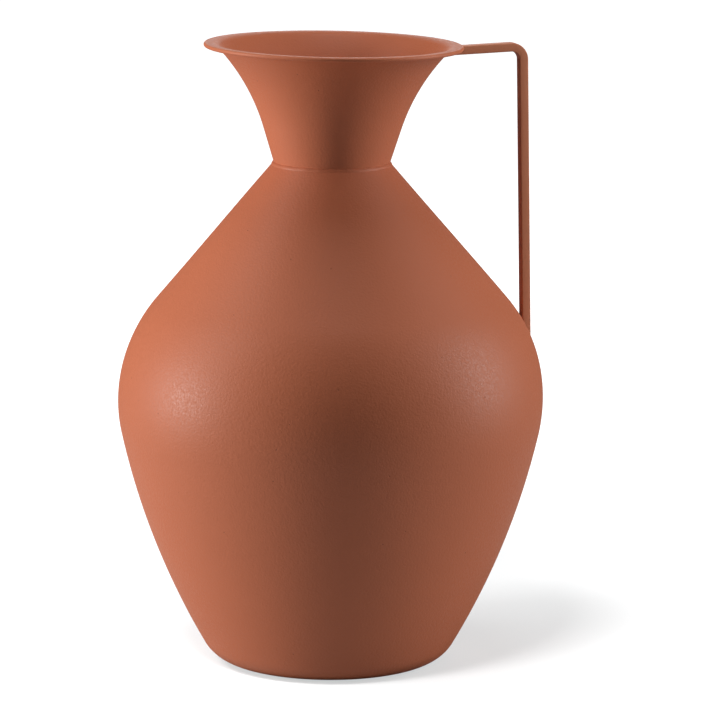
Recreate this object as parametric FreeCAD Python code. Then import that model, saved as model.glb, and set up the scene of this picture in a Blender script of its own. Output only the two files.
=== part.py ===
import FreeCAD, Part
import math
import os

# One-handled jug vase of spun sheet steel, welded and coated. Lengths are in millimetres, angles in degrees.
# The body is round about Z and stands on Z = 0. The handle lies in the XZ plane, on the +X side.
# Body and neck sizes are those of the outer skin, and the sheet's thickness lies inside them.

Vector = FreeCAD.Vector
UP = Vector(0, 0, 1)
ACROSS = Vector(0, 1, 0)
ORIGIN = Vector(0, 0, 0)

# Sheet that all three shells are spun from
sheet = 1.0

# Body, from the base up
base_corner = 19.1      # radius that rounds the foot of the wall
wall_round = 359.0      # long curve of the lower wall
belly_radius = 102.4    # widest ring
belly_height = 128.3    # height of the widest ring
seam_drop = 15.9        # belly seam below the widest ring
shoulder_round = 74.3   # curve over the widest ring into the shoulder
shoulder_rise = 114.5   # widest ring to the waist
waist_radius = 28.1     # top edge of the shoulder, which the neck stands on

# Neck, a funnel that ends in a level lip with a folded edge
neck_height = 56.8      # waist to the top of the lip
neck_seat = 0.3         # step that the shoulder's edge leaves outside the foot of the neck
neck_taper = 17.3       # wall against the axis, at the waist
flare_round = 96.6
flare_end = 43.2        # wall against the axis, where the flare turns into the lip
lip_round = 5.1
lip_flat = 2.4          # level stretch of the lip, and the length folded back under it
neck_lean = 0.7         # the neck was set on by eye and leans towards the handle

# Handle, one flat bar with a single bend
bar_thickness = 4.2     # in the plane of the handle
bar_width = 6.0         # across it
bar_edge = 0.5          # rounding of the bar's long edges
bend_inside = 4.1
bar_rise = 2.2          # the upper arm climbs away from the lip
lip_notch = 0.5         # depth of the arm's notch round the folded edge
leg_inset = 3.9         # leg's axis inside the widest ring, at that ring's height
leg_splay = 1.35        # the leg spreads outwards on its way down

# Weld beads
bead_up_neck = 0.8      # top of the waist bead, which sinks into the neck's sheet
bead_down_shoulder = 2.2
bead_crown = 0.4        # how far the bead bulges over its toes
groove_outside = 1.8    # belly groove, flush with the skin outside
groove_inside = 1.0
root_crown = 0.3        # bulge of the belly weld's root inside
end_leg = 1.3           # fillets round both ends of the bar
end_toe = 0.2           # step where such a fillet ends on the bar

# Length by which a tool shape runs past what it cuts
overrun = 3.0


def at(r, z):
    """Point of the section plane: r from the axis, z above the table."""
    return Vector(r, 0, z)


def heading(angle):
    """Unit vector in the section plane, turned up from +X by the angle in degrees."""
    turn = math.radians(angle)
    return Vector(math.cos(turn), 0, math.sin(turn))


def line(start, end):
    """Straight edge."""
    return Part.LineSegment(start, end).toShape()


def arc(centre, radius, start, end):
    """Arc edge about the centre, from one heading to the other, in degrees."""
    points = [centre + heading(angle) * radius for angle in (start, (start + end) / 2, end)]
    return Part.Arc(*points).toShape()


def bulge(start, end, height, side):
    """Arc edge that rises over its chord, away from the axis where side is 1 and towards it where -1."""
    across = (end - start).cross(ACROSS).normalize()
    outwards = across if across.x > 0 else across * -1
    return Part.Arc(start, (start + end) / 2 + outwards * (height * side), end).toShape()


def start_of(edges):
    """First point of a chain of edges."""
    return edges[0].firstVertex(True).Point


def end_of(edges):
    """Last point of a chain of edges."""
    return edges[-1].lastVertex(True).Point


def spin(edges):
    """Solid of revolution of a closed outline about the body's axis, whatever the order of its edges."""
    outline = Part.Wire(Part.__sortEdges__(edges))
    return Part.Solid(Part.Face(outline).revolve(ORIGIN, UP, 360))


def lean(shape):
    """Copy of a shape of the upright neck, tilted towards the handle about the middle of the waist."""
    leaning = shape.copy()
    leaning.rotate(at(0, waist_height), ACROSS, neck_lean)
    return leaning


def largest_solid(cut):
    """The piece itself, without any sliver that a cut leaves beside it."""
    return max(cut.Solids, key=lambda solid: solid.Volume)


# Body: centres of its three curves and the headings where they meet, all on smooth joins
waist_height = belly_height + shoulder_rise
seam_turn = -math.degrees(math.asin(seam_drop / shoulder_round))
shoulder_centre = at(belly_radius - shoulder_round, belly_height)
wall_centre = shoulder_centre + heading(seam_turn) * (shoulder_round - wall_round)
corner_sine = (base_corner - wall_centre.z) / (wall_round - base_corner)
corner_turn = math.degrees(math.asin(corner_sine))
corner_centre = wall_centre + heading(corner_turn) * (wall_round - base_corner)

# The shoulder leaves its curve on the straight line that runs to the waist
waist = at(waist_radius, waist_height)
to_waist = waist - shoulder_centre
shoulder_turn = math.degrees(
    math.atan2(to_waist.z, to_waist.x) - math.acos(shoulder_round / to_waist.Length)
)
shoulder_slope = heading(shoulder_turn - 90)

# Neck: its straight cone takes up the height that the flare and the lip leave
flare_rise = flare_round * (math.sin(math.radians(flare_end)) - math.sin(math.radians(neck_taper)))
lip_rise = lip_round * (1 - math.sin(math.radians(flare_end)))
cone_rise = neck_height - sheet - lip_rise - flare_rise
neck_slope = heading(90 - neck_taper)
neck_foot = waist - at(neck_seat, 0)
cone_top = neck_foot + neck_slope * (cone_rise / math.cos(math.radians(neck_taper)))
flare_centre = cone_top + heading(-neck_taper) * flare_round
flare_top = flare_centre + heading(180 - flare_end) * flare_round
lip_centre = flare_top + heading(-flare_end) * lip_round
lip_start = lip_centre + UP * lip_round
fold = lip_start + at(lip_flat, 0)


def leaned(point):
    """Place that a point of the upright neck takes once the neck leans towards the handle."""
    pivot = at(0, waist_height)
    return pivot + FreeCAD.Rotation(ACROSS, neck_lean).multVec(point - pivot)


# Handle: the arm runs out under the folded edge of the leaning lip, the leg down to the shoulder
under_fold = leaned(fold - UP * sheet) - UP * (bar_thickness / 2 - lip_notch)
beside_belly = at(belly_radius - leg_inset, belly_height)
arm = heading(bar_rise)
leg = heading(leg_splay - 90)
arm_side = arm.cross(ACROSS) * -1
leg_side = leg.cross(ACROSS) * -1
down_leg = (under_fold - beside_belly).dot(arm_side) / leg.dot(arm_side)
corner = beside_belly + leg * down_leg

# The bend joins the two on smooth joins, with its centre inside the corner
bend_round = bend_inside + bar_thickness / 2
bend_back = bend_round * math.tan(math.acos(arm.dot(leg)) / 2)
arm_end = corner - arm * bend_back
leg_start = corner + leg * bend_back
bend_centre = arm_end + arm_side * bend_round
bend_out = (corner - bend_centre).normalize()
arm_start = corner - arm * (corner.x - waist_radius)
leg_end = corner + leg * (corner.z - belly_height)


def skin_below_seam(inset, gap):
    """Bowl's skin from the axis out and up, inset from the outside, ending short of the seam by the gap."""
    stop = seam_turn - math.degrees(gap / wall_round)
    return [
        line(at(0, inset), at(corner_centre.x, inset)),
        arc(corner_centre, base_corner - inset, -90, corner_turn),
        arc(wall_centre, wall_round - inset, corner_turn, stop),
    ]


def skin_above_seam(inset, gap):
    """Shoulder's skin from above the seam by the gap up to the waist plane, inset from the outside."""
    begin = seam_turn + math.degrees(gap / shoulder_round)
    leave = shoulder_centre + heading(shoulder_turn) * (shoulder_round - inset)
    top = at(waist_radius - inset / math.cos(math.radians(shoulder_turn)), waist_height)
    return [arc(shoulder_centre, shoulder_round - inset, begin, shoulder_turn), line(leave, top)]


def neck_skin(inset):
    """Neck's skin from below the waist plane up to the lip, inset towards the mouth."""
    inwards = heading(180 - neck_taper) * inset
    below = neck_foot - neck_slope * overrun
    return [
        line(below + inwards, cone_top + inwards),
        arc(flare_centre, flare_round + inset, 180 - neck_taper, 180 - flare_end),
        arc(lip_centre, lip_round + inset, 180 - flare_end, 90),
    ]


def folded_lip():
    """Lip's level stretch from the mouth outwards, round the fold and back under to where it began."""
    under = lip_start - UP * sheet
    return [
        line(lip_start + UP * sheet, fold + UP * sheet),
        arc(fold, sheet, 90, -90),
        line(fold - UP * sheet, under),
        line(under, lip_start),
    ]


def make_belly_bowl():
    """Lower shell, spun in one piece with its flat base."""
    outside = skin_below_seam(0, groove_outside / 2)
    inside = skin_below_seam(sheet, groove_inside / 2)
    groove_side = line(end_of(outside), end_of(inside))
    axis = line(start_of(inside), start_of(outside))
    return spin(outside + inside + [groove_side, axis])


def make_shoulder_shell():
    """Upper shell, from the belly seam to the waist, where its edge is cut level."""
    outside = skin_above_seam(0, groove_outside / 2)
    inside = skin_above_seam(sheet, groove_inside / 2)
    groove_side = line(start_of(inside), start_of(outside))
    top_edge = line(end_of(outside), end_of(inside))
    return spin(outside + inside + [groove_side, top_edge])


def make_belly_weld():
    """Ring of weld that fills the groove between bowl and shoulder, flush outside, with its root inside."""
    low_outside = end_of(skin_below_seam(0, groove_outside / 2))
    high_outside = start_of(skin_above_seam(0, groove_outside / 2))
    low_inside = end_of(skin_below_seam(sheet, groove_inside / 2))
    high_inside = start_of(skin_above_seam(sheet, groove_inside / 2))
    seam = shoulder_centre + heading(seam_turn) * shoulder_round
    face = Part.Arc(low_outside, seam, high_outside).toShape()
    root = bulge(low_inside, high_inside, root_crown, -1)
    return spin([face, line(high_outside, high_inside), root, line(low_inside, low_outside)])


def make_neck_funnel():
    """Neck, flare and lip of one sheet, cut level at the waist where it stands on the shoulder."""
    outside = neck_skin(0)
    mouth = neck_skin(sheet)
    bottom = line(start_of(outside), start_of(mouth))
    funnel = lean(spin(outside + mouth + folded_lip() + [bottom]))
    return funnel.cut(Part.makeCylinder(belly_radius, waist_height))


def make_neck_core():
    """Full body inside the neck's outer form, folded edge included, leaning as the neck does."""
    skin = neck_skin(0) + folded_lip()[1:]
    top = at(0, lip_start.z + sheet)
    bottom = at(0, start_of(skin).z)
    return lean(spin(skin + [line(fold + UP * sheet, top), line(top, bottom), line(bottom, start_of(skin))]))


def make_body_core():
    """Full body inside the outer form of bowl and shoulder."""
    skin = skin_below_seam(0, 0) + skin_above_seam(0, 0)
    top = at(0, waist_height)
    return spin(skin + [line(end_of(skin), top), line(top, start_of(skin))])


def make_neck_weld(neck_core):
    """Bead round the waist, laid over the shoulder's top edge and against the foot of the neck."""
    in_sheet = neck_foot - at(sheet / 2, 0)
    up_neck = in_sheet + neck_slope * bead_up_neck
    down_shoulder = waist + shoulder_slope * bead_down_shoulder
    corners = [down_shoulder, waist, in_sheet, up_neck]
    sides = [line(start, end) for start, end in zip(corners, corners[1:])]
    return spin(sides + [bulge(down_shoulder, up_neck, bead_crown, 1)]).cut(neck_core)


def bar_side(offset):
    """One side of the bar: arm, bend and leg, offset from the bar's middle towards the inside of the bend."""
    bend_from = arm_end + arm_side * offset
    bend_to = leg_start + leg_side * offset
    bend_middle = bend_centre + bend_out * (bend_round - offset)
    return [
        line(arm_start + arm_side * offset, bend_from),
        Part.Arc(bend_from, bend_middle, bend_to).toShape(),
        line(bend_to, leg_end + leg_side * offset),
    ]


def make_long_bar():
    """Bent bar with rounded edges, longer than needed at both ends, which are cut to their walls later."""
    outside = bar_side(-bar_thickness / 2)
    inside = bar_side(bar_thickness / 2)
    ends = [line(start_of(outside), start_of(inside)), line(end_of(outside), end_of(inside))]
    profile = Part.Face(Part.Wire(Part.__sortEdges__(outside + inside + ends)))
    profile.translate(ACROSS * (-bar_width / 2))
    bar = profile.extrude(ACROSS * bar_width)
    along_bar = [edge for edge in bar.Edges if edge.BoundBox.YLength < bar_edge]
    return bar.makeFillet(bar_edge, along_bar)


def landing(direction, centre, radius, side):
    """Point where the bar's middle line, run from its corner, meets a wall's arc on the given side."""
    away = corner - centre
    half = away.dot(direction)
    return corner + direction * (side * math.sqrt(half**2 - away.dot(away) + radius**2) - half)


def make_end_weld(seat, normal, up_bar):
    """Fillet round an end of the bar: seat is on the wall, up_bar runs along the bar and off the wall."""
    flow = up_bar.dot(normal)
    slope = ACROSS.cross(normal) * (bar_thickness / 2 / flow)
    half_width = ACROSS * (bar_width / 2)
    rings = []
    for height in (-sheet, end_leg - end_toe):
        middle = seat + up_bar * (height / flow)
        signs = [(1, 1), (1, -1), (-1, -1), (-1, 1), (1, 1)]
        footprint = Part.makePolygon([middle + slope * i + half_width * j for i, j in signs])
        rings.append(footprint.makeOffset2D(end_leg - height))
    return Part.makeLoft(rings, True, True)


def main():
    """Shapes the pieces, cuts the bar and its welds to their walls, and writes one file for each piece."""
    neck_core = make_neck_core()
    body_core = make_body_core()
    long_bar = make_long_bar()

    flare_hub = leaned(flare_centre)
    top_seat = landing(-arm, flare_hub, flare_round, 1)
    top_weld = make_end_weld(top_seat, (flare_hub - top_seat).normalize(), arm)
    foot_seat = landing(leg, shoulder_centre, shoulder_round, -1)
    foot_weld = make_end_weld(foot_seat, (foot_seat - shoulder_centre).normalize(), -leg)

    pieces = {
        "belly_bowl": make_belly_bowl(),
        "belly_weld": make_belly_weld(),
        "shoulder_shell": make_shoulder_shell(),
        "neck_funnel": make_neck_funnel(),
        "neck_weld": make_neck_weld(neck_core),
        "handle_bar": long_bar.cut(neck_core).cut(body_core),
        "handle_top_weld": top_weld.cut(neck_core).cut(long_bar),
        "handle_foot_weld": foot_weld.cut(body_core).cut(long_bar),
    }
    os.makedirs("parts", exist_ok=True)
    for name, shape in pieces.items():
        largest_solid(shape).exportStep(f"parts/{name}.step")


main()
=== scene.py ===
"""One-handled jug vase of spun, welded and powder-coated sheet steel, dressed for its picture.

Lengths are in metres and angles in degrees. The body is round about Z and stands on Z = 0.
The handle lies in the XZ plane, on the +X side.
"""

import logging
import math
from dataclasses import dataclass, field
from enum import Enum

import bmesh
import bpy
from mathutils import Matrix, Quaternion, Vector, noise


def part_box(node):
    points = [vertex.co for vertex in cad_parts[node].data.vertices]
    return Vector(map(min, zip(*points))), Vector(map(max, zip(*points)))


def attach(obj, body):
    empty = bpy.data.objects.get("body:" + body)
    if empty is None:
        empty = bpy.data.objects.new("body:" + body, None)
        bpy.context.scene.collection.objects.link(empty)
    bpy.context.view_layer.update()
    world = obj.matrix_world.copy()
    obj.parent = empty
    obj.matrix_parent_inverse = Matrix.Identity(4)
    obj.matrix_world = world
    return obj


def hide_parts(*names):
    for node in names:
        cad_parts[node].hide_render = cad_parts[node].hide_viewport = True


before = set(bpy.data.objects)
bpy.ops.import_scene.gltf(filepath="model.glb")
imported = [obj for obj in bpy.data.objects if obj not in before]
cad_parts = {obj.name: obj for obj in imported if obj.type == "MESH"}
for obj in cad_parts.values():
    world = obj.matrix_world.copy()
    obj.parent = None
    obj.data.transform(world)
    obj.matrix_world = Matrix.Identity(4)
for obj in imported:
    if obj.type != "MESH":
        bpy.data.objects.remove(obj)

UP = Vector((0.0, 0.0, 1.0))
ACROSS = Vector((0.0, 1.0, 0.0))
ORIGIN = Vector((0.0, 0.0, 0.0))

# Facets round the axis, fewest facets of an arc, and the widest gap that they leave to the true curve
FACETS_AROUND = 256
FEWEST_FACETS = 4
ARC_GAP = 8e-6

# Points nearer than this are one point, and heights nearer than this are level
MERGE_GAP = 1e-7
LEVEL_GAP = 1e-5

# Edges that turn by more than this angle stay crisp
CREASE = 40.0

# Level that Blender's noise swings about
NOISE_MIDDLE = 0.5

log = logging.getLogger("jug_vase")


class Slot(Enum):
    """Names of the material slots."""

    SHELL = "coated_shell"
    NECK = "coated_neck"
    BAR = "coated_bar"
    WELD = "coated_weld"


def at(r: float, z: float) -> Vector:
    """Point of the section plane: r from the axis, z above the floor."""
    return Vector((r, 0.0, z))


def heading(angle: float) -> Vector:
    """Unit vector in the section plane, turned up from +X by the angle."""
    turn = math.radians(angle)
    return Vector((math.cos(turn), 0.0, math.sin(turn)))


def arc_steps(radius: float, angle: float) -> int:
    """Number of facets that an arc needs to look round.

    Args:
        radius: Radius of the arc.
        angle: Angle that the arc covers.

    Returns:
        The fewest that any arc has, and more on a long or large arc.
    """
    widest = 2 * math.acos(1 - min(ARC_GAP / radius, 1))
    return max(FEWEST_FACETS, math.ceil(abs(math.radians(angle)) / widest))


class Outline:
    """Chain of edges in the section plane, grown from its start by straight runs and arcs."""

    def __init__(self, start: Vector) -> None:
        """Starts the chain.

        Args:
            start: First point of the chain.
        """
        self.mesh = bmesh.new()
        self.first = bmesh.ops.create_vert(self.mesh, co=start)["vert"][0]
        self.tip = self.first

    def run_to(self, end: Vector, pieces: int = 1) -> "Outline":
        """Adds a straight run.

        Args:
            end: Point that the run ends on.
            pieces: Number of edges in the run.

        Returns:
            The same chain.
        """
        step = (end - self.tip.co) / pieces
        for _ in range(pieces):
            grown = bmesh.ops.extrude_vert_indiv(self.mesh, verts=[self.tip])
            self.tip = grown["verts"][0]
            bmesh.ops.translate(self.mesh, vec=step, verts=[self.tip])
        return self

    def turn(self, centre: Vector, angle: float) -> "Outline":
        """Adds an arc.

        Args:
            centre: Centre of the arc.
            angle: Angle of the arc, anticlockwise where X runs right and Z up.

        Returns:
            The same chain.
        """
        radius = (self.tip.co - centre).length
        swept = bmesh.ops.spin(
            self.mesh,
            geom=[self.tip],
            cent=centre,
            axis=-ACROSS,
            angle=math.radians(angle),
            steps=arc_steps(radius, angle),
            use_merge=False,
        )
        self.tip = next(item for item in swept["geom_last"] if isinstance(item, bmesh.types.BMVert))
        return self

    def bow_to(self, end: Vector, rise: float) -> "Outline":
        """Adds a shallow arc over a chord.

        Args:
            end: Point that the arc ends on.
            rise: Height of the arc over its chord, on the right of the way along it.

        Returns:
            The same chain.
        """
        chord = end - self.tip.co
        radius = (chord.length_squared / 4 + rise**2) / (2 * rise)
        right = chord.cross(ACROSS).normalized() * -1
        centre = self.tip.co + chord / 2 - right * (radius - rise)
        return self.turn(centre, 2 * math.degrees(math.asin(chord.length / 2 / radius)))

    def close(self) -> "Outline":
        """Joins the last point to the first one with a straight edge."""
        bmesh.ops.contextual_create(self.mesh, geom=[self.tip, self.first])
        return self

    def spun(self) -> bmesh.types.BMesh:
        """Spins the chain into a round shell about Z.

        Returns:
            A closed mesh whose faces point outwards, where the chain is closed or ends on the axis.
        """
        mesh = self.mesh
        bmesh.ops.spin(
            mesh,
            geom=mesh.verts[:] + mesh.edges[:],
            cent=ORIGIN,
            axis=UP,
            angle=math.tau,
            steps=FACETS_AROUND,
            use_merge=True,
        )
        bmesh.ops.remove_doubles(mesh, verts=mesh.verts[:], dist=MERGE_GAP)
        bmesh.ops.recalc_face_normals(mesh, faces=mesh.faces[:])
        return mesh


@dataclass(frozen=True)
class Ripple:
    """Smooth unevenness of a bead that was laid by hand.

    The amount is the furthest move, bump the size of one bump, and seed gives each bead its own bumps.
    """

    amount: float
    bump: float
    seed: float

    def stir(self, mesh: bmesh.types.BMesh, verts: list[bmesh.types.BMVert]) -> None:
        """Moves points in and out along their normals.

        Args:
            mesh: Mesh that holds the points.
            verts: Points to move.
        """
        mesh.normal_update()
        moves = []
        for vert in verts:
            level = noise.noise(vert.co / self.bump + Vector((self.seed, self.seed, self.seed)))
            moves.append((vert, vert.normal * (self.amount * level)))
        for vert, move in moves:
            vert.co += move


def publish(
    mesh: bmesh.types.BMesh, name: str, coat: bpy.types.Material, nodes: tuple[str, ...]
) -> bpy.types.Object:
    """Turns a finished mesh into a piece of the vase.

    Args:
        mesh: Mesh in its place, which is freed.
        name: Name of the piece.
        coat: Material of the piece.
        nodes: Solids that the piece stands for.

    Returns:
        The new object, riding on the vase.
    """
    crease = math.radians(CREASE)
    for edge in mesh.edges:
        edge.smooth = edge.calc_face_angle(0.0) < crease
    for face in mesh.faces:
        face.smooth = True
    data = bpy.data.meshes.new(name)
    mesh.to_mesh(data)
    mesh.free()
    data.materials.append(coat)
    piece = bpy.data.objects.new(name, data)
    bpy.context.scene.collection.objects.link(piece)
    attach(piece, "root")
    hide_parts(*nodes)
    log.info("%s: %d faces, for %s", name, len(data.polygons), ", ".join(nodes))
    return piece


@dataclass
class BodyShells:
    """Bowl and shoulder of one sheet thickness, with the flush weld that joins them."""

    sheet: float = 0.0010
    base_corner: float = 0.0191
    wall_round: float = 0.3590
    belly_radius: float = 0.1024
    belly_height: float = 0.1283
    seam_drop: float = 0.0159
    shoulder_round: float = 0.0743
    waist_radius: float = 0.0281
    groove_outside: float = 0.0018
    groove_inside: float = 0.0010
    root_crown: float = 0.0003
    set_over: float = 0.0009
    base_rings: int = 6
    cone_rings: int = 24
    waist_height: float = field(default_factory=lambda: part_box("shoulder_shell")[1].z)

    def __post_init__(self) -> None:
        """Works out the centres of the three curves and the headings where they meet."""
        self.seam_turn = -math.degrees(math.asin(self.seam_drop / self.shoulder_round))
        self.shoulder_centre = at(self.belly_radius - self.shoulder_round, self.belly_height)
        self.wall_centre = self.shoulder_centre + heading(self.seam_turn) * (
            self.shoulder_round - self.wall_round
        )
        corner_sine = (self.base_corner - self.wall_centre.z) / (self.wall_round - self.base_corner)
        self.corner_turn = math.degrees(math.asin(corner_sine))
        self.corner_centre = self.wall_centre + heading(self.corner_turn) * (
            self.wall_round - self.base_corner
        )
        self.waist = at(self.waist_radius, self.waist_height)
        reach = self.waist - self.shoulder_centre
        self.shoulder_turn = math.degrees(
            math.atan2(reach.z, reach.x) - math.acos(self.shoulder_round / reach.length)
        )
        self.shoulder_slope = heading(self.shoulder_turn - 90)
        self.seam_height = (self.shoulder_centre + heading(self.seam_turn) * self.shoulder_round).z

    def pushed(self, height: float) -> float:
        """Distance that the shoulder sits towards the handle, most of all half-way up it."""
        share = (height - self.seam_height) / (self.waist_height - self.seam_height)
        return self.set_over * math.sin(math.pi * min(max(share, 0.0), 1.0)) ** 2

    def wall_end(self, inset: float, gap: float) -> float:
        """Heading at which the bowl's skin stops short of the seam by the gap."""
        return self.seam_turn - math.degrees(gap / (self.wall_round - inset))

    def shoulder_start(self, inset: float, gap: float) -> float:
        """Heading at which the shoulder's skin starts, above the seam by the gap."""
        return self.seam_turn + math.degrees(gap / (self.shoulder_round - inset))

    def bowl(self) -> bmesh.types.BMesh:
        """Spins the lower shell with its flat base.

        Returns:
            The closed shell, outer and inner skin in one mesh.
        """
        sheet, inner_corner = self.sheet, self.base_corner - self.sheet
        outside = self.wall_end(0, self.groove_outside / 2)
        inside = self.wall_end(sheet, self.groove_inside / 2)
        inner_end = self.wall_centre + heading(inside) * (self.wall_round - sheet)
        outline = Outline(at(0, 0)).run_to(at(self.corner_centre.x, 0), self.base_rings)
        outline.turn(self.corner_centre, self.corner_turn + 90)
        outline.turn(self.wall_centre, outside - self.corner_turn)
        outline.run_to(inner_end)
        outline.turn(self.wall_centre, self.corner_turn - inside)
        outline.turn(self.corner_centre, -90 - self.corner_turn)
        outline.run_to(self.corner_centre - UP * inner_corner)
        return outline.run_to(at(0, sheet), self.base_rings).spun()

    def shoulder(self) -> bmesh.types.BMesh:
        """Spins the upper shell, from the seam to the level edge at the waist.

        Returns:
            The closed shell, outer and inner skin in one mesh.
        """
        sheet = self.sheet
        outside = self.shoulder_start(0, self.groove_outside / 2)
        inside = self.shoulder_start(sheet, self.groove_inside / 2)
        edge = sheet / math.cos(math.radians(self.shoulder_turn))
        leave = self.shoulder_centre + heading(self.shoulder_turn) * (self.shoulder_round - sheet)
        outline = Outline(self.shoulder_centre + heading(outside) * self.shoulder_round)
        outline.turn(self.shoulder_centre, self.shoulder_turn - outside)
        outline.run_to(self.waist, self.cone_rings)
        outline.run_to(self.waist - at(edge, 0))
        outline.run_to(leave, self.cone_rings)
        outline.turn(self.shoulder_centre, inside - self.shoulder_turn)
        mesh = outline.close().spun()
        for vert in mesh.verts:
            vert.co.x += self.pushed(vert.co.z)
        return mesh

    def seam_weld(self) -> bmesh.types.BMesh:
        """Spins the ring of weld between the two shells, dressed flush outside.

        Returns:
            The closed ring, with its root a little proud inside.
        """
        low = self.wall_end(0, self.groove_outside / 2)
        high = self.shoulder_start(0, self.groove_outside / 2)
        low_root = self.wall_end(self.sheet, self.groove_inside / 2)
        high_root = self.shoulder_start(self.sheet, self.groove_inside / 2)
        root_start = self.shoulder_centre + heading(high_root) * (self.shoulder_round - self.sheet)
        root_end = self.wall_centre + heading(low_root) * (self.wall_round - self.sheet)
        outline = Outline(self.wall_centre + heading(low) * self.wall_round)
        outline.turn(self.wall_centre, self.seam_turn - low)
        outline.turn(self.shoulder_centre, high - self.seam_turn)
        outline.run_to(root_start)
        outline.bow_to(root_end, self.root_crown)
        return outline.close().spun()


@dataclass
class NeckFunnel:
    """Funnel neck with its flare, its lip and the edge folded back under it, and the waist bead."""

    body: BodyShells
    height: float = 0.0568
    seat: float = 0.0003
    taper: float = 17.3
    flare_round: float = 0.0966
    flare_end: float = 43.2
    lip_round: float = 0.0051
    lip_flat: float = 0.0024
    lean: float = 0.7
    bead_up_neck: float = 0.0008
    bead_down_shoulder: float = 0.0013
    bead_crown: float = 0.0003
    bead_ripple: Ripple = Ripple(0.00022, 0.0055, 7.0)
    bead_swell: Ripple = Ripple(0.00012, 0.0180, 11.0)
    cone_rings: int = 10

    def __post_init__(self) -> None:
        """Works out the cone, the flare and the lip from the waist up."""
        sheet = self.body.sheet
        taper, flare_end = math.radians(self.taper), math.radians(self.flare_end)
        flare_rise = self.flare_round * (math.sin(flare_end) - math.sin(taper))
        lip_rise = self.lip_round * (1 - math.sin(flare_end))
        cone_rise = self.height - sheet - lip_rise - flare_rise
        self.slope = heading(90 - self.taper)
        self.foot = self.body.waist - at(self.seat, 0)
        self.cone_top = self.foot + self.slope * (cone_rise / math.cos(taper))
        self.flare_centre = self.cone_top + heading(-self.taper) * self.flare_round
        flare_top = self.flare_centre + heading(180 - self.flare_end) * self.flare_round
        self.lip_centre = flare_top + heading(-self.flare_end) * self.lip_round
        self.lip_start = self.lip_centre + UP * self.lip_round
        self.fold = self.lip_start + at(self.lip_flat, 0)
        self.pivot = at(0, self.body.waist_height)

    def leaned(self, point: Vector) -> Vector:
        """Place that a point of the upright neck takes once the neck leans."""
        turn = Matrix.Rotation(math.radians(self.lean), 3, ACROSS)
        return self.pivot + turn @ (point - self.pivot)

    def funnel(self) -> bmesh.types.BMesh:
        """Spins the neck upright, leans it towards the handle and cuts it level at the waist.

        Returns:
            The closed shell, outer and inner skin and folded edge in one mesh.
        """
        sheet = self.body.sheet
        inwards = heading(180 - self.taper) * sheet
        below = self.foot - self.slope * (2 * sheet)
        flare_turn = self.taper - self.flare_end
        outline = Outline(below).run_to(self.cone_top, self.cone_rings)
        outline.turn(self.flare_centre, flare_turn)
        outline.turn(self.lip_centre, self.flare_end - 90)
        outline.run_to(self.lip_start - UP * sheet).run_to(self.fold - UP * sheet)
        outline.turn(self.fold, 180)
        outline.run_to(self.lip_start + UP * sheet)
        outline.turn(self.lip_centre, 90 - self.flare_end)
        outline.turn(self.flare_centre, -flare_turn)
        outline.run_to(below + inwards, self.cone_rings)
        mesh = outline.close().spun()
        turn = Matrix.Rotation(math.radians(self.lean), 3, ACROSS)
        bmesh.ops.rotate(mesh, cent=self.pivot, matrix=turn, verts=mesh.verts[:])
        bmesh.ops.bisect_plane(
            mesh,
            geom=mesh.verts[:] + mesh.edges[:] + mesh.faces[:],
            dist=MERGE_GAP,
            plane_co=self.pivot,
            plane_no=UP,
            clear_inner=True,
        )
        rims = [edge for edge in mesh.edges if edge.is_boundary]
        bmesh.ops.bridge_loops(mesh, edges=rims)
        bmesh.ops.recalc_face_normals(mesh, faces=mesh.faces[:])
        return mesh

    def waist_bead(self) -> bmesh.types.BMesh:
        """Spins the hand-laid bead round the waist and makes it uneven.

        Returns:
            The bead, sunk into the neck's sheet at its top.
        """
        in_sheet = self.foot - at(self.body.sheet / 2, 0)
        top = in_sheet + self.slope * self.bead_up_neck
        bottom = self.body.waist + self.body.shoulder_slope * self.bead_down_shoulder
        outline = Outline(in_sheet).run_to(self.body.waist).run_to(bottom)
        outline.bow_to(top, self.bead_crown)
        mesh = outline.close().spun()
        crest = [vert for vert in mesh.verts if vert.co.z > bottom.z + LEVEL_GAP]
        self.bead_ripple.stir(mesh, crest)
        self.bead_swell.stir(mesh, crest)
        return mesh


def rounded_section(size: Vector, corner: float, facets: int, cuts: int = 0) -> bmesh.types.BMesh:
    """Makes an empty rectangle with round corners, level with the floor and about the origin.

    Args:
        size: Its lengths in X and in Y.
        corner: Radius of its corners.
        facets: Number of edges in each corner.
        cuts: Number of points that are added to every edge.

    Returns:
        The ring of edges, in a mesh of its own.
    """
    mesh = bmesh.new()
    half_side = 0.5
    verts = bmesh.ops.create_grid(mesh, x_segments=1, y_segments=1, size=half_side)["verts"]
    bmesh.ops.scale(mesh, vec=size, verts=verts)
    bmesh.ops.bevel(
        mesh,
        geom=mesh.verts[:],
        offset=corner,
        offset_type="OFFSET",
        segments=facets,
        profile=0.5,
        affect="VERTICES",
        material=-1,
    )
    if cuts:
        bmesh.ops.subdivide_edges(mesh, edges=mesh.edges[:], cuts=cuts)
    bmesh.ops.delete(mesh, geom=mesh.faces[:], context="FACES_ONLY")
    return mesh


def extend(
    mesh: bmesh.types.BMesh, rim: list[bmesh.types.BMEdge], move: Vector
) -> list[bmesh.types.BMEdge]:
    """Draws a ring of edges out into a straight tube.

    Args:
        mesh: Mesh that holds the ring.
        rim: Edges of the ring.
        move: Way from the ring to the tube's far end.

    Returns:
        The edges of the tube's far end.
    """
    grown = bmesh.ops.extrude_edge_only(mesh, edges=rim)["geom"]
    verts = [item for item in grown if isinstance(item, bmesh.types.BMVert)]
    bmesh.ops.translate(mesh, vec=move, verts=verts)
    far = set(verts)
    edges = [item for item in grown if isinstance(item, bmesh.types.BMEdge)]
    return [edge for edge in edges if set(edge.verts) <= far]


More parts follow.
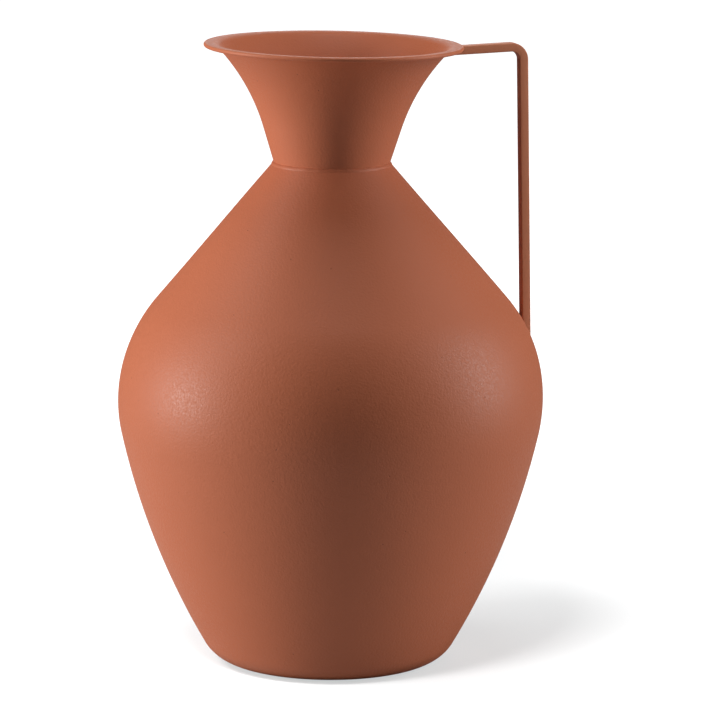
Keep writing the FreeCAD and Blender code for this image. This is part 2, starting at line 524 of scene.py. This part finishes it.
def ends_of(edges: list[bmesh.types.BMEdge]) -> list[bmesh.types.BMVert]:
    """Points of some edges, each of them once."""
    return list(dict.fromkeys(vert for edge in edges for vert in edge.verts))


@dataclass
class BarHandle:
    """Flat bar with one bend, from under the lip down to the shoulder, and the fillets at its ends."""

    body: BodyShells
    neck: NeckFunnel
    thickness: float = 0.0042
    width: float = 0.0060
    edge: float = 0.0005
    bend_inside: float = 0.0041
    rise: float = 2.2
    notch: float = 0.0005
    leg_inset: float = 0.0039
    leg_splay: float = 1.35
    end_leg: float = 0.0013
    end_toe: float = 0.0002
    end_depth: float = 0.0005
    top_ripple: Ripple = Ripple(0.00012, 0.0016, 2.0)
    foot_ripple: Ripple = Ripple(0.00012, 0.0016, 5.0)
    edge_facets: int = 4
    bend_facets: int = 16
    fillet_corner_facets: int = 8
    fillet_edge_cuts: int = 2
    fillet_facets: int = 6

    def __post_init__(self) -> None:
        """Works out where arm and leg cross, and the bend between them."""
        neck, body = self.neck, self.body
        under_fold = neck.leaned(neck.fold - UP * body.sheet) - UP * (self.thickness / 2 - self.notch)
        beside_belly = at(body.belly_radius - self.leg_inset, body.belly_height)
        self.arm, self.leg = heading(self.rise), heading(self.leg_splay - 90)
        arm_side = ACROSS.cross(self.arm)
        down_leg = (under_fold - beside_belly).dot(arm_side) / self.leg.dot(arm_side)
        self.corner = beside_belly + self.leg * down_leg
        self.bend_angle = math.degrees(self.arm.angle(self.leg))
        self.bend_round = self.bend_inside + self.thickness / 2
        self.bend_back = self.bend_round * math.tan(math.radians(self.bend_angle / 2))
        arm_end = self.corner - self.arm * self.bend_back
        self.bend_centre = arm_end + ACROSS.cross(self.arm) * self.bend_round
        self.top_hub = neck.leaned(neck.flare_centre)
        self.top_seat = self.landing(-self.arm, self.top_hub, neck.flare_round, 1)
        unpushed = self.landing(self.leg, body.shoulder_centre, body.shoulder_round, -1)
        self.foot_hub = body.shoulder_centre + at(body.pushed(unpushed.z), 0)
        self.foot_seat = self.landing(self.leg, self.foot_hub, body.shoulder_round, -1)
        self.top_normal = (self.top_hub - self.top_seat).normalized()
        self.foot_normal = (self.foot_seat - self.foot_hub).normalized()

    def landing(self, direction: Vector, centre: Vector, radius: float, side: int) -> Vector:
        """Finds where the bar's middle line meets a wall.

        Args:
            direction: Unit vector from the bar's corner towards the wall.
            centre: Centre of the wall's arc.
            radius: Radius of the wall's arc.
            side: 1 for the far crossing of the arc, and -1 for the near one.

        Returns:
            The point on the wall.
        """
        away = self.corner - centre
        half = away.dot(direction)
        reach = side * math.sqrt(half**2 - away.length_squared + radius**2) - half
        return self.corner + direction * reach

    def bar(self) -> bmesh.types.BMesh:
        """Sweeps the rounded section along arm, bend and leg, and trims both ends to their walls.

        Returns:
            The closed bar, its ends sunk into the sheet that they are welded to.
        """
        mesh = rounded_section(Vector((self.thickness, self.width, 1)), self.edge, self.edge_facets)
        overrun = 2 * self.thickness
        start = self.top_seat - self.arm * overrun
        columns = Matrix((ACROSS.cross(self.arm), ACROSS, self.arm)).transposed().to_4x4()
        bmesh.ops.transform(mesh, matrix=Matrix.Translation(start) @ columns, verts=mesh.verts[:])
        arm_length = (self.corner - start).length - self.bend_back
        leg_length = (self.foot_seat - self.corner).length - self.bend_back + overrun
        rim = extend(mesh, mesh.edges[:], self.arm * arm_length)
        swept = bmesh.ops.spin(
            mesh,
            geom=rim + ends_of(rim),
            cent=self.bend_centre,
            axis=ACROSS,
            angle=math.radians(self.bend_angle),
            steps=self.bend_facets,
            use_merge=False,
        )
        rim = [item for item in swept["geom_last"] if isinstance(item, bmesh.types.BMEdge)]
        extend(mesh, rim, self.leg * leg_length)
        for seat, normal in ((self.top_seat, self.top_normal), (self.foot_seat, self.foot_normal)):
            bmesh.ops.bisect_plane(
                mesh,
                geom=mesh.verts[:] + mesh.edges[:] + mesh.faces[:],
                dist=MERGE_GAP,
                plane_co=seat - normal * self.end_depth,
                plane_no=normal,
                clear_inner=True,
            )
        bmesh.ops.holes_fill(mesh, edges=[edge for edge in mesh.edges if edge.is_boundary], sides=0)
        bmesh.ops.recalc_face_normals(mesh, faces=mesh.faces[:])
        return mesh

    def fillet(self, seat: Vector, normal: Vector, along: Vector, ripple: Ripple) -> bmesh.types.BMesh:
        """Makes the hollow fillet of weld round one end of the bar.

        Args:
            seat: Point where the bar's middle meets the wall.
            normal: Unit vector off the wall.
            along: Unit vector along the bar, off the wall.
            ripple: Unevenness of the bead.

        Returns:
            The closed fillet, which runs under the bar and a little into the sheet.
        """
        flow = along.dot(normal)

        def footprint(out: float) -> Vector:
            """Size of the fillet's outline where it stands out from the bar by so much."""
            return Vector((self.thickness / flow + 2 * out, self.width + 2 * out, 1))

        spread = self.end_leg
        mesh = rounded_section(
            footprint(spread), spread, self.fillet_corner_facets, self.fillet_edge_cuts
        )
        bmesh.ops.translate(mesh, vec=-UP * self.end_depth, verts=mesh.verts[:])
        rim = extend(mesh, mesh.edges[:], UP * self.end_depth)
        level = 0.0
        for step in range(1, self.fillet_facets + 1):
            sweep = math.radians(90 * step / self.fillet_facets)
            rise = self.end_leg * (1 - math.cos(sweep))
            shrunk = max(self.end_leg * (1 - math.sin(sweep)), self.end_toe)
            rim = extend(mesh, rim, UP * (rise - level))
            now, then = footprint(spread), footprint(shrunk)
            shrink = Vector((then.x / now.x, then.y / now.y, 1))
            bmesh.ops.scale(mesh, vec=shrink, verts=ends_of(rim))
            spread, level = shrunk, rise
        bmesh.ops.holes_fill(mesh, edges=[edge for edge in mesh.edges if edge.is_boundary], sides=0)
        slope = ACROSS.cross(normal)
        columns = Matrix((slope, ACROSS, along / flow)).transposed().to_4x4()
        bmesh.ops.transform(mesh, matrix=Matrix.Translation(seat) @ columns, verts=mesh.verts[:])
        bmesh.ops.recalc_face_normals(mesh, faces=mesh.faces[:])
        ripple.stir(mesh, mesh.verts[:])
        return mesh

    def top_fillet(self) -> bmesh.types.BMesh:
        """Fillet under the lip, round the end of the arm."""
        return self.fillet(self.top_seat, self.top_normal, self.arm, self.top_ripple)

    def foot_fillet(self) -> bmesh.types.BMesh:
        """Fillet on the shoulder, round the foot of the leg."""
        return self.fillet(self.foot_seat, self.foot_normal, -self.leg, self.foot_ripple)


@dataclass(frozen=True)
class Socket:
    """One named socket of a shader node group, which carries a plain number."""

    name: str
    value: float | None = None


class Group:
    """Shader node group with named inputs and outputs, and short ways to add nodes to it."""

    def __init__(self, name: str, inputs: tuple[Socket, ...], outputs: tuple[Socket, ...]) -> None:
        """Makes the empty group.

        Args:
            name: Name of the group.
            inputs: Its input sockets, with their usual values.
            outputs: Its output sockets.
        """
        self.tree = bpy.data.node_groups.new(name, "ShaderNodeTree")
        for direction, sockets in (("INPUT", inputs), ("OUTPUT", outputs)):
            for socket in sockets:
                made = self.tree.interface.new_socket(
                    socket.name, in_out=direction, socket_type="NodeSocketFloat"
                )
                if socket.value is not None:
                    made.default_value = socket.value
        self.inputs = self.tree.nodes.new("NodeGroupInput").outputs
        self.outputs = self.tree.nodes.new("NodeGroupOutput").inputs

    def node(self, kind: str, **settings: object) -> bpy.types.Node:
        """Adds a node.

        Args:
            kind: Blender's name for the kind of node.
            **settings: Options of the node itself, by their names.

        Returns:
            The node.
        """
        made = self.tree.nodes.new(kind)
        for name, value in settings.items():
            setattr(made, name, value)
        return made

    def join(self, source: bpy.types.NodeSocket, target: bpy.types.NodeSocket) -> None:
        """Links two sockets."""
        self.tree.links.new(source, target)

    def math(self, operation: str, *terms: bpy.types.NodeSocket | float) -> bpy.types.NodeSocket:
        """Adds a sum, product or other step of arithmetic.

        Args:
            operation: Name of the operation.
            *terms: Sockets or plain numbers, in order.

        Returns:
            The socket with the result.
        """
        made = self.node("ShaderNodeMath", operation=operation)
        for socket, term in zip(made.inputs, terms):
            if isinstance(term, bpy.types.NodeSocket):
                self.join(term, socket)
            else:
                socket.default_value = term
        return made.outputs["Value"]

    def place(self) -> bpy.types.NodeSocket:
        """Point of the surface in the vase's own frame."""
        return self.node("ShaderNodeTexCoord").outputs["Object"]

    def pattern(self, kind: str, per_metre: bpy.types.NodeSocket, **settings: object) -> bpy.types.Node:
        """Adds a solid texture that is fixed to the vase.

        Args:
            kind: Blender's name for the kind of texture.
            per_metre: Number of its bumps to the metre.
            **settings: Options of the node itself, by their names.

        Returns:
            The texture's node.
        """
        made = self.node(kind, **settings)
        self.join(self.place(), made.inputs["Vector"])
        self.join(per_metre, made.inputs["Scale"])
        return made


def grain_group() -> bpy.types.NodeTree:
    """Builds the fine orange-peel grain of sprayed and baked powder.

    Returns:
        A group that puts out a height in metres, and a tone and a gloss share around 1.
    """
    group = Group(
        "powder_grain",
        (
            Socket("Grain Size", 0.0011),
            Socket("Grain Depth", 0.0001),
            Socket("Tone Spread", 0.08),
            Socket("Gloss Spread", 1.15),
        ),
        tuple(Socket(name) for name in ("Height", "Tone", "Gloss")),
    )
    per_metre = group.math("DIVIDE", 1.0, group.inputs["Grain Size"])
    coarse = group.pattern("ShaderNodeTexNoise", per_metre)
    coarse.inputs["Detail"].default_value = 2.0
    coarse.inputs["Roughness"].default_value = 0.6
    dimples = group.pattern("ShaderNodeTexVoronoi", per_metre, feature="SMOOTH_F1")
    dimples.inputs["Smoothness"].default_value = 0.6
    dimple_share = 0.5
    dimpled = group.math("MULTIPLY", dimples.outputs["Distance"], dimple_share)
    level = group.math("ADD", coarse.outputs["Fac"], dimpled)
    group.join(group.math("MULTIPLY", level, group.inputs["Grain Depth"]), group.outputs["Height"])
    centred = group.math("SUBTRACT", coarse.outputs["Fac"], NOISE_MIDDLE)
    for name in ("Tone", "Gloss"):
        swing = group.math("MULTIPLY", centred, group.inputs[f"{name} Spread"])
        group.join(group.math("ADD", swing, 1.0), group.outputs[name])
    return group.tree


def speck_group() -> bpy.types.NodeTree:
    """Builds the few pin-prick pits that dust leaves in a baked coat.

    Returns:
        A group whose mask is 1 in a pit and 0 elsewhere.
    """
    group = Group(
        "pin_pits",
        (Socket("Spacing", 0.011), Socket("Pit Size", 0.00028)),
        (Socket("Mask"),),
    )
    per_metre = group.math("DIVIDE", 1.0, group.inputs["Spacing"])
    cells = group.pattern("ShaderNodeTexVoronoi", per_metre, feature="F1")
    reach = group.math("MULTIPLY", cells.outputs["Distance"], group.inputs["Spacing"])
    share = group.math("DIVIDE", reach, group.inputs["Pit Size"])
    faded_out = 1.5
    soft = group.math("SUBTRACT", faded_out, share)
    held = group.math("MINIMUM", group.math("MAXIMUM", soft, 0.0), 1.0)
    group.join(held, group.outputs["Mask"])
    return group.tree


def drift_group() -> bpy.types.NodeTree:
    """Builds the slow change of tone and gloss over a hand-sprayed coat.

    Returns:
        A group that puts out a tone and a gloss share around 1.
    """
    group = Group(
        "spray_drift",
        (Socket("Patch Size", 0.06), Socket("Spread", 0.06)),
        (Socket("Tone"), Socket("Gloss")),
    )
    per_metre = group.math("DIVIDE", 1.0, group.inputs["Patch Size"])
    for name, detail in (("Tone", 3.0), ("Gloss", 5.0)):
        cloud = group.pattern("ShaderNodeTexNoise", per_metre)
        cloud.inputs["Detail"].default_value = detail
        centred = group.math("SUBTRACT", cloud.outputs["Fac"], NOISE_MIDDLE)
        swing = group.math("MULTIPLY", centred, group.inputs["Spread"])
        group.join(group.math("ADD", swing, 1.0), group.outputs[name])
    return group.tree


@dataclass(frozen=True)
class PowderCoat:
    """Matt baked powder coat in one colour, with the grain of the place that it is on."""

    name: str
    colour: tuple[float, float, float] = (0.505, 0.147, 0.070)
    roughness: float = 0.50
    specular: float = 0.27
    grain_size: float = 0.0011
    grain_depth: float = 0.0001
    tone_spread: float = 0.08
    gloss_spread: float = 1.15
    drift: float = 0.06
    pit_spacing: float = 0.011
    pit_size: float = 0.00028
    pit_depth: float = 0.00012
    # Share by which the colour is darkened in a pit: painted shade in the pit
    pit_painted_shade: float = 0.45

    def material(
        self, grain: bpy.types.NodeTree, pits: bpy.types.NodeTree, drift: bpy.types.NodeTree
    ) -> bpy.types.Material:
        """Builds the material from the shared groups.

        Args:
            grain: Group of the powder's grain.
            pits: Group of the pin-prick pits.
            drift: Group of the slow drift in tone.

        Returns:
            The finished material.
        """
        made = bpy.data.materials.new(self.name)
        made.use_nodes = True
        nodes, links = made.node_tree.nodes, made.node_tree.links
        shader = nodes["Principled BSDF"]
        shader.inputs["Specular IOR Level"].default_value = self.specular
        placed = []
        for tree, values in (
            (
                grain,
                {
                    "Grain Size": self.grain_size,
                    "Grain Depth": self.grain_depth,
                    "Tone Spread": self.tone_spread,
                    "Gloss Spread": self.gloss_spread,
                },
            ),
            (pits, {"Spacing": self.pit_spacing, "Pit Size": self.pit_size}),
            (drift, {"Spread": self.drift}),
        ):
            node = nodes.new("ShaderNodeGroup")
            node.node_tree = tree
            for name, value in values.items():
                node.inputs[name].default_value = value
            placed.append(node)
        grained, pitted, drifted = placed

        def arithmetic(
            operation: str, first: bpy.types.NodeSocket, second: bpy.types.NodeSocket | float
        ) -> bpy.types.NodeSocket:
            """Adds one step of arithmetic to the material.

            Args:
                operation: Name of the operation.
                first: First term.
                second: Second term, a socket or a plain number.

            Returns:
                The socket with the result.
            """
            step = nodes.new("ShaderNodeMath")
            step.operation = operation
            links.new(first, step.inputs[0])
            if isinstance(second, bpy.types.NodeSocket):
                links.new(second, step.inputs[1])
            else:
                step.inputs[1].default_value = second
            return step.outputs["Value"]

        tone = arithmetic("MULTIPLY", grained.outputs["Tone"], drifted.outputs["Tone"])
        # Darkens the colour in each pit as painted shade in the pit; the pit is also sunk in the bump
        # below
        pit_painted_shade_level = arithmetic("MULTIPLY", pitted.outputs["Mask"], self.pit_painted_shade)
        shade = arithmetic("SUBTRACT", tone, pit_painted_shade_level)
        tint = nodes.new("ShaderNodeVectorMath")
        tint.operation = "SCALE"
        tint.inputs["Vector"].default_value = self.colour
        links.new(shade, tint.inputs["Scale"])
        links.new(tint.outputs["Vector"], shader.inputs["Base Color"])
        gloss = arithmetic("MULTIPLY", grained.outputs["Gloss"], drifted.outputs["Gloss"])
        links.new(arithmetic("MULTIPLY", gloss, self.roughness), shader.inputs["Roughness"])
        sunk = arithmetic("MULTIPLY", pitted.outputs["Mask"], self.pit_depth)
        relief = arithmetic("SUBTRACT", grained.outputs["Height"], sunk)
        bump = nodes.new("ShaderNodeBump")
        bump.inputs["Strength"].default_value = 1.0
        bump.inputs["Distance"].default_value = 1.0
        links.new(relief, bump.inputs["Height"])
        links.new(bump.outputs["Normal"], shader.inputs["Normal"])
        return made


SHELL_COAT = PowderCoat("coat_on_shell")
# The neck has the shell's powder, painted lighter: painted light on the downward-facing flare of the
# neck.
NECK_COAT_PAINTED_LIGHT = PowderCoat("coat_on_neck", colour=(0.548, 0.159, 0.074), grain_depth=0.00009)
# The bar has the shell's powder, given a paler, a little lighter and less red tint: painted light and
# sheen on the bar.
BAR_COAT_PAINTED_LIGHT = PowderCoat(
    "coat_on_bar", colour=(0.468, 0.168, 0.088), grain_size=0.0009, pit_spacing=0.02
)
WELD_COAT = PowderCoat("coat_on_weld", grain_size=0.0008, grain_depth=0.00009)


@dataclass(frozen=True)
class Softbox:
    """Rectangular lamp on a stand, aimed at the vase."""

    name: str
    bearing: float
    height: float
    distance: float
    width: float
    tall: float
    power: float

    def place(self, aim: Vector) -> bpy.types.Object:
        """Puts the lamp up.

        Args:
            aim: Point that the lamp faces.

        Returns:
            The lamp on its stand.
        """
        lamp = bpy.data.lights.new(self.name, "AREA")
        lamp.shape = "RECTANGLE"
        lamp.size, lamp.size_y = self.width, self.tall
        lamp.energy = self.power
        turn = math.radians(self.bearing)
        spot = Vector((math.sin(turn), -math.cos(turn), 0)) * self.distance + UP * self.height
        stand = bpy.data.objects.new(self.name, lamp)
        stand.location = spot
        stand.rotation_mode = "QUATERNION"
        stand.rotation_quaternion = (aim - spot).to_track_quat("-Z", "Y")
        bpy.context.scene.collection.objects.link(stand)
        log.info("%s: %.0f W at bearing %.0f", self.name, self.power, self.bearing)
        return stand


@dataclass(frozen=True)
class Studio:
    """White sweep, softboxes and the camera that stands where the photograph was taken."""

    handle_behind: float = 15.2
    pitch: float = 10.31
    roll: float = 0.42
    back: float = 2.1325
    aside: float = 0.0142
    eye: float = 0.5348
    lens: float = 225.0
    sensor: float = 36.0
    clip_near: float = 0.1
    clip_far: float = 100.0
    floor_size: float = 12.0
    table_round: float = 0.30
    table_fade: float = 0.70
    table_white: float = 0.31
    table_grey: float = 0.178
    outer_grey: float = 0.08
    glow_near: float = 0.575
    glow_far: float = 1.02
    glow_fade: float = 1.0
    glow_tint: tuple[float, float, float, float] = (0.980, 0.995, 1.0, 1.0)
    room_light: float = 0.03
    aim: tuple[float, float, float] = (0.0, 0.0, 0.15)
    # Name, bearing, height, distance, width, tallness and power of each
    boxes: tuple[Softbox, ...] = (
        Softbox("left_low", -100.0, 0.30, 1.6, 0.5, 0.6, 22.2),
        Softbox("left_high", -95.0, 1.50, 1.6, 0.8, 1.0, 12.2),
        Softbox("overhead", 0.0, 2.20, 0.01, 0.8, 1.0, 11.2),
        Softbox("right_low", 77.0, 0.55, 1.6, 0.5, 1.1, 17.8),
        Softbox("right_high", 65.0, 1.50, 1.6, 0.8, 1.0, 4.5),
        Softbox("behind", 165.0, 0.90, 1.6, 0.8, 1.0, 4.0),
    )
    floor_lamp: Softbox = Softbox("floor_lamp", -32.0, 1.70, 1.20, 0.5, 0.5, 56.0)
    floor_fill: Softbox = Softbox("floor_fill", -90.0, 1.20, 1.10, 0.5, 0.5, 22.0)
    handle_lamp: Softbox = Softbox("handle_lamp", 30.0, 0.75, 0.5, 0.2, 0.2, 1.45)

    def set_camera(self) -> None:
        """Sets the camera up level with the photograph's, with its small roll."""
        turn, dip = math.radians(self.handle_behind), math.radians(self.pitch)
        ahead = Vector((math.sin(turn), math.cos(turn), 0))
        right = Vector((math.cos(turn), -math.sin(turn), 0))
        data = bpy.data.cameras.new("camera")
        data.lens, data.sensor_width = self.lens, self.sensor
        data.clip_start, data.clip_end = self.clip_near, self.clip_far
        camera = bpy.data.objects.new("camera", data)
        camera.location = ahead * -self.back + right * self.aside + UP * self.eye
        look = ahead * math.cos(dip) - UP * math.sin(dip)
        camera.rotation_mode = "QUATERNION"
        level = look.to_track_quat("-Z", "Y")
        camera.rotation_quaternion = level @ Quaternion(UP, math.radians(self.roll))
        bpy.context.scene.collection.objects.link(camera)
        bpy.context.scene.camera = camera

    def sweep_paint(self) -> bpy.types.Material:
        """Builds the sweep's matt paint, with a glow that only the camera sees.

        Returns:
            Paint that is lighter to the camera than to the rays that light the vase.
        """
        paint = bpy.data.materials.new("white_sweep")
        paint.use_nodes = True
        nodes, links = paint.node_tree.nodes, paint.node_tree.links
        nodes.clear()
        output = nodes.new("ShaderNodeOutputMaterial")
        both = nodes.new("ShaderNodeAddShader")
        matt = nodes.new("ShaderNodeBsdfDiffuse")
        glow = nodes.new("ShaderNodeEmission")
        glow.inputs["Color"].default_value = self.glow_tint
        path = nodes.new("ShaderNodeLightPath")
        place = nodes.new("ShaderNodeTexCoord")
        away = nodes.new("ShaderNodeVectorMath")
        away.operation = "LENGTH"
        links.new(place.outputs["Object"], away.inputs["Vector"])
        bounce = nodes.new("ShaderNodeMapRange")
        bounce.interpolation_type = "SMOOTHSTEP"
        shine = nodes.new("ShaderNodeMapRange")
        for ramp, ends in (
            (bounce, (self.table_round, self.table_fade, self.table_grey, self.outer_grey)),
            (shine, (self.table_round, self.glow_fade, self.glow_near, self.glow_far)),
        ):
            links.new(away.outputs["Value"], ramp.inputs["Value"])
            for name, value in zip(("From Min", "From Max", "To Min", "To Max"), ends):
                ramp.inputs[name].default_value = value
        seen = nodes.new("ShaderNodeMath")
        seen.operation = "MULTIPLY"
        seen.inputs[1].default_value = self.table_white
        links.new(path.outputs["Is Camera Ray"], seen.inputs[0])
        tone = nodes.new("ShaderNodeMath")
        tone.operation = "MAXIMUM"
        links.new(seen.outputs["Value"], tone.inputs[0])
        links.new(bounce.outputs["Result"], tone.inputs[1])
        links.new(tone.outputs["Value"], matt.inputs["Color"])
        dim = nodes.new("ShaderNodeMath")
        dim.operation = "MULTIPLY"
        links.new(path.outputs["Is Camera Ray"], dim.inputs[0])
        links.new(shine.outputs["Result"], dim.inputs[1])
        links.new(dim.outputs["Value"], glow.inputs["Strength"])
        links.new(matt.outputs["BSDF"], both.inputs[0])
        links.new(glow.outputs["Emission"], both.inputs[1])
        links.new(both.outputs["Shader"], output.inputs["Surface"])
        return paint

    def lay_floor(self) -> bpy.types.Object:
        """Lays the white sweep that the vase stands on.

        Returns:
            The floor.
        """
        mesh = bmesh.new()
        bmesh.ops.create_grid(mesh, x_segments=1, y_segments=1, size=self.floor_size / 2)
        data = bpy.data.meshes.new("floor")
        mesh.to_mesh(data)
        mesh.free()
        floor = bpy.data.objects.new("floor", data)
        bpy.context.scene.collection.objects.link(floor)
        data.materials.append(self.sweep_paint())
        return floor

    def light_only(self, lamp: Softbox, target: bpy.types.Object) -> None:
        """Puts up a lamp that lights one object alone, with the shadows that others cast on it.

        Args:
            lamp: Lamp to put up.
            target: The only object that it lights.
        """
        stand = lamp.place(Vector(self.aim))
        lit = bpy.data.collections.new(f"lit_by_{lamp.name}")
        lit.objects.link(target)
        stand.light_linking.receiver_collection = lit

    def light_room(self) -> None:
        """Gives the room its even fill, and white where the camera looks past the floor."""
        world = bpy.data.worlds.new("studio")
        bpy.context.scene.world = world
        world.use_nodes = True
        nodes, links = world.node_tree.nodes, world.node_tree.links
        ground = nodes["Background"]
        path = nodes.new("ShaderNodeLightPath")
        level = nodes.new("ShaderNodeMapRange")
        level.inputs["To Min"].default_value = self.room_light
        level.inputs["To Max"].default_value = 1.0
        links.new(path.outputs["Is Camera Ray"], level.inputs["Value"])
        links.new(level.outputs["Result"], ground.inputs["Strength"])
        ground.inputs["Color"].default_value = (1, 1, 1, 1)

    def set_up(self, bar: bpy.types.Object) -> None:
        """Builds the whole studio.

        Args:
            bar: The handle's bar, which has a small lamp of its own.
        """
        bpy.context.scene.view_settings.view_transform = "Standard"
        floor = self.lay_floor()
        self.light_only(self.floor_lamp, floor)
        self.light_only(self.floor_fill, floor)
        self.light_only(self.handle_lamp, bar)
        self.light_room()
        for box in self.boxes:
            box.place(Vector(self.aim))
        self.set_camera()


def main() -> None:
    """Builds and dresses the sub-assemblies in order, then sets up the studio."""
    logging.basicConfig(level=logging.INFO, format="%(name)s: %(message)s")
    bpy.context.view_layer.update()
    for name in ("Cube", "Light", "Camera"):
        if name in bpy.data.objects:
            bpy.data.objects.remove(bpy.data.objects[name])

    trees = (grain_group(), speck_group(), drift_group())
    shell_coat = SHELL_COAT.material(*trees)
    neck_coat_painted_light = NECK_COAT_PAINTED_LIGHT.material(*trees)
    bar_coat_painted_light = BAR_COAT_PAINTED_LIGHT.material(*trees)
    weld_coat = WELD_COAT.material(*trees)

    body = BodyShells()
    publish(body.bowl(), "bowl", shell_coat, ("belly_bowl",))
    publish(body.shoulder(), "shoulder", shell_coat, ("shoulder_shell",))
    publish(body.seam_weld(), "belly_seam", shell_coat, ("belly_weld",))

    neck = NeckFunnel(body)
    publish(neck.funnel(), "neck", neck_coat_painted_light, ("neck_funnel",))
    publish(neck.waist_bead(), "waist_bead", weld_coat, ("neck_weld",))

    handle = BarHandle(body, neck)
    bar = publish(handle.bar(), "bar", bar_coat_painted_light, ("handle_bar",))
    publish(handle.top_fillet(), "bar_top_fillet", weld_coat, ("handle_top_weld",))
    publish(handle.foot_fillet(), "bar_foot_fillet", weld_coat, ("handle_foot_weld",))

    Studio().set_up(bar)


if __name__ == "__main__":
    main()
